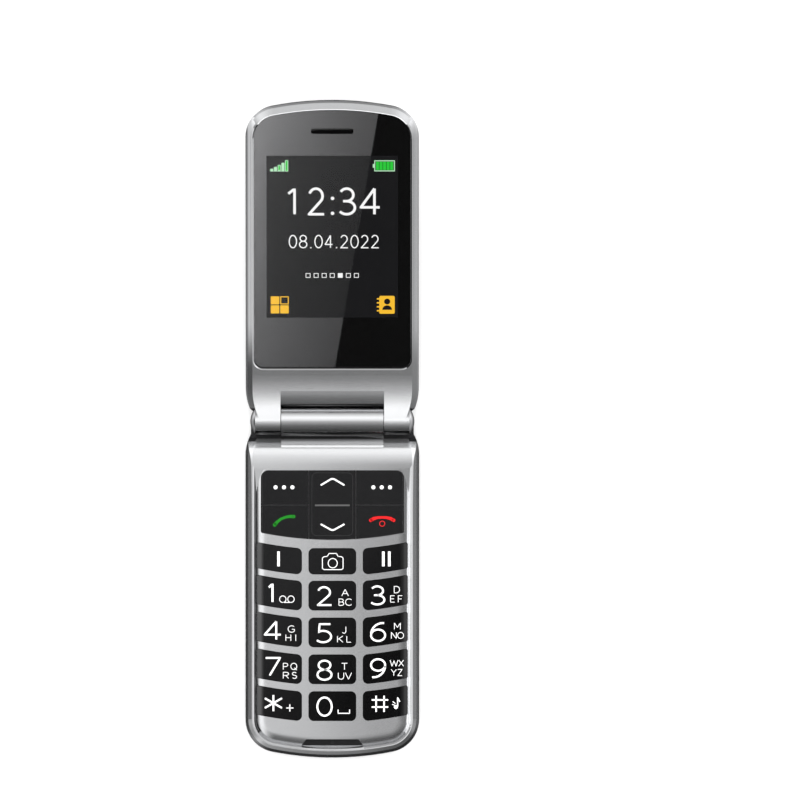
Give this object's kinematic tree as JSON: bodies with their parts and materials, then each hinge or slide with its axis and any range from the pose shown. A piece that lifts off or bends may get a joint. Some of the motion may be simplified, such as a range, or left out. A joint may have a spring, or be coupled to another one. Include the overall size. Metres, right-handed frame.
{
  "type": "flip phone",
  "caption": "Folding mobile phone lying open: silver front, large black keys with command keys above, barrel hinge between two ears, and a display lid that folds shut over the keys.",
  "frame": {"origin": "on the flat back of the base, midway between the hinge axis and the tip of the base", "axes": "+Z out of the keypad, away from the surface that the base lies on; +Y along the phone from the keypad towards the hinge and the open lid; +X to the right when the keys are read"},
  "size_m": [0.054, 0.2042, 0.0443],
  "materials": {
    "silver_shell": "silver lacquer, satin to glossy",
    "black_case": "fine matte black",
    "cover_gloss": "piano black",
    "key_gloss": "black, semi gloss",
    "side_key": "matte black",
    "call_red": "red, glossy",
    "lens_glass": "clear acrylic with a black mask behind",
    "window_glass": "smoked acrylic",
    "lcd": "dark display glass",
    "circuit_board": "green solder mask",
    "steel": "plain steel",
    "gold_contact": "gold plated",
    "chrome_trim": "polished chrome",
    "inner_plastic": "black plastic",
    "flex_film": "amber film",
    "battery_can": "foil wrapped pack"
  },
  "bodies": {
    "base": {"keypad_frame": "silver_shell", "base_bezel": "silver_shell", "rear_case": "black_case", "battery_cover": "black_case", "battery": "battery_can", "main_board": "circuit_board", "dome_sheet": "steel", "loudspeaker": "inner_plastic", "speaker_mesh": "steel", "microphone": "inner_plastic", "vibration_motor": "steel", "usb_socket": "steel", "sim_holder": "steel", "antenna": "steel", "battery_contacts": "gold_contact", "charge_contacts": "gold_contact", "base_screws": "steel", "hinge_barrel": "silver_shell", "hinge_cartridge": "steel", "hinge_flex": "flex_film"},
    "lid": {"lid_frame": "silver_shell", "lid_bezel": "silver_shell", "display_lens": "lens_glass", "lcd_module": "lcd", "lid_board": "circuit_board", "earpiece": "inner_plastic", "earpiece_mesh": "steel", "lid_cover": "cover_gloss", "outer_window": "window_glass", "outer_display": "lcd", "camera_module": "inner_plastic", "camera_ring": "chrome_trim", "lid_screws": "steel", "lid_magnet": "steel", "hinge_cam": "steel", "hinge_bush": "inner_plastic", "hinge_caps": "chrome_trim", "lid_flex": "flex_film"},
    "key_1": {"key_1": "key_gloss"},
    "key_2": {"key_2": "key_gloss"},
    "key_3": {"key_3": "key_gloss"},
    "key_4": {"key_4": "key_gloss"},
    "key_5": {"key_5": "key_gloss"},
    "key_6": {"key_6": "key_gloss"},
    "key_7": {"key_7": "key_gloss"},
    "key_8": {"key_8": "key_gloss"},
    "key_9": {"key_9": "key_gloss"},
    "key_star": {"key_star": "key_gloss"},
    "key_0": {"key_0": "key_gloss"},
    "key_hash": {"key_hash": "key_gloss"},
    "key_one_touch": {"key_one_touch": "key_gloss"},
    "key_camera": {"key_camera": "key_gloss"},
    "key_two_touch": {"key_two_touch": "key_gloss"},
    "soft_key_left": {"soft_key_left": "key_gloss"},
    "soft_key_right": {"soft_key_right": "key_gloss"},
    "call_key": {"call_key": "key_gloss"},
    "end_key": {"end_key": "key_gloss"},
    "nav_key": {"nav_key": "key_gloss"},
    "sos_button": {"sos_button": "call_red"},
    "volume_rocker": {"volume_rocker": "side_key"}
  },
  "joints": [
    {"name": "lid_hinge", "type": "hinge", "parent": "base", "child": "lid", "pos_m": [0, 0.05225, 0.01135], "axis": [1, 0, 0], "range_deg": [0, 161]},
    {"name": "key_1_press", "type": "slide", "parent": "base", "child": "key_1", "axis": [0, 0, -1], "range_m": [0, 0.0004], "stiffness_N_per_m": 200},
    {"name": "key_2_press", "type": "slide", "parent": "base", "child": "key_2", "axis": [0, 0, -1], "range_m": [0, 0.0004], "stiffness_N_per_m": 200},
    {"name": "key_3_press", "type": "slide", "parent": "base", "child": "key_3", "axis": [0, 0, -1], "range_m": [0, 0.0004], "stiffness_N_per_m": 200},
    {"name": "key_4_press", "type": "slide", "parent": "base", "child": "key_4", "axis": [0, 0, -1], "range_m": [0, 0.0004], "stiffness_N_per_m": 200},
    {"name": "key_5_press", "type": "slide", "parent": "base", "child": "key_5", "axis": [0, 0, -1], "range_m": [0, 0.0004], "stiffness_N_per_m": 200},
    {"name": "key_6_press", "type": "slide", "parent": "base", "child": "key_6", "axis": [0, 0, -1], "range_m": [0, 0.0004], "stiffness_N_per_m": 200},
    {"name": "key_7_press", "type": "slide", "parent": "base", "child": "key_7", "axis": [0, 0, -1], "range_m": [0, 0.0004], "stiffness_N_per_m": 200},
    {"name": "key_8_press", "type": "slide", "parent": "base", "child": "key_8", "axis": [0, 0, -1], "range_m": [0, 0.0004], "stiffness_N_per_m": 200},
    {"name": "key_9_press", "type": "slide", "parent": "base", "child": "key_9", "axis": [0, 0, -1], "range_m": [0, 0.0004], "stiffness_N_per_m": 200},
    {"name": "key_star_press", "type": "slide", "parent": "base", "child": "key_star", "axis": [0, 0, -1], "range_m": [0, 0.0004], "stiffness_N_per_m": 200},
    {"name": "key_0_press", "type": "slide", "parent": "base", "child": "key_0", "axis": [0, 0, -1], "range_m": [0, 0.0004], "stiffness_N_per_m": 200},
    {"name": "key_hash_press", "type": "slide", "parent": "base", "child": "key_hash", "axis": [0, 0, -1], "range_m": [0, 0.0004], "stiffness_N_per_m": 200},
    {"name": "key_one_touch_press", "type": "slide", "parent": "base", "child": "key_one_touch", "axis": [0, 0, -1], "range_m": [0, 0.0004], "stiffness_N_per_m": 200},
    {"name": "key_camera_press", "type": "slide", "parent": "base", "child": "key_camera", "axis": [0, 0, -1], "range_m": [0, 0.0004], "stiffness_N_per_m": 200},
    {"name": "key_two_touch_press", "type": "slide", "parent": "base", "child": "key_two_touch", "axis": [0, 0, -1], "range_m": [0, 0.0004], "stiffness_N_per_m": 200},
    {"name": "soft_key_left_press", "type": "slide", "parent": "base", "child": "soft_key_left", "axis": [0, 0, -1], "range_m": [0, 0.0004], "stiffness_N_per_m": 200},
    {"name": "soft_key_right_press", "type": "slide", "parent": "base", "child": "soft_key_right", "axis": [0, 0, -1], "range_m": [0, 0.0004], "stiffness_N_per_m": 200},
    {"name": "call_key_press", "type": "slide", "parent": "base", "child": "call_key", "axis": [0, 0, -1], "range_m": [0, 0.0004], "stiffness_N_per_m": 200},
    {"name": "end_key_press", "type": "slide", "parent": "base", "child": "end_key", "axis": [0, 0, -1], "range_m": [0, 0.0004], "stiffness_N_per_m": 200},
    {"name": "nav_key_rock", "type": "hinge", "parent": "base", "child": "nav_key", "pos_m": [0, 0.02627, 0.0084], "axis": [1, 0, 0], "range_deg": [-1, 1], "stiffness_Nm_per_rad": 0.05},
    {"name": "sos_button_press", "type": "slide", "parent": "base", "child": "sos_button", "axis": [0, 0, 1], "range_m": [0, 0.0005], "stiffness_N_per_m": 300},
    {"name": "volume_rocker_press", "type": "slide", "parent": "base", "child": "volume_rocker", "axis": [1, 0, 0], "range_m": [0, 0.0004], "stiffness_N_per_m": 200}
  ]
}
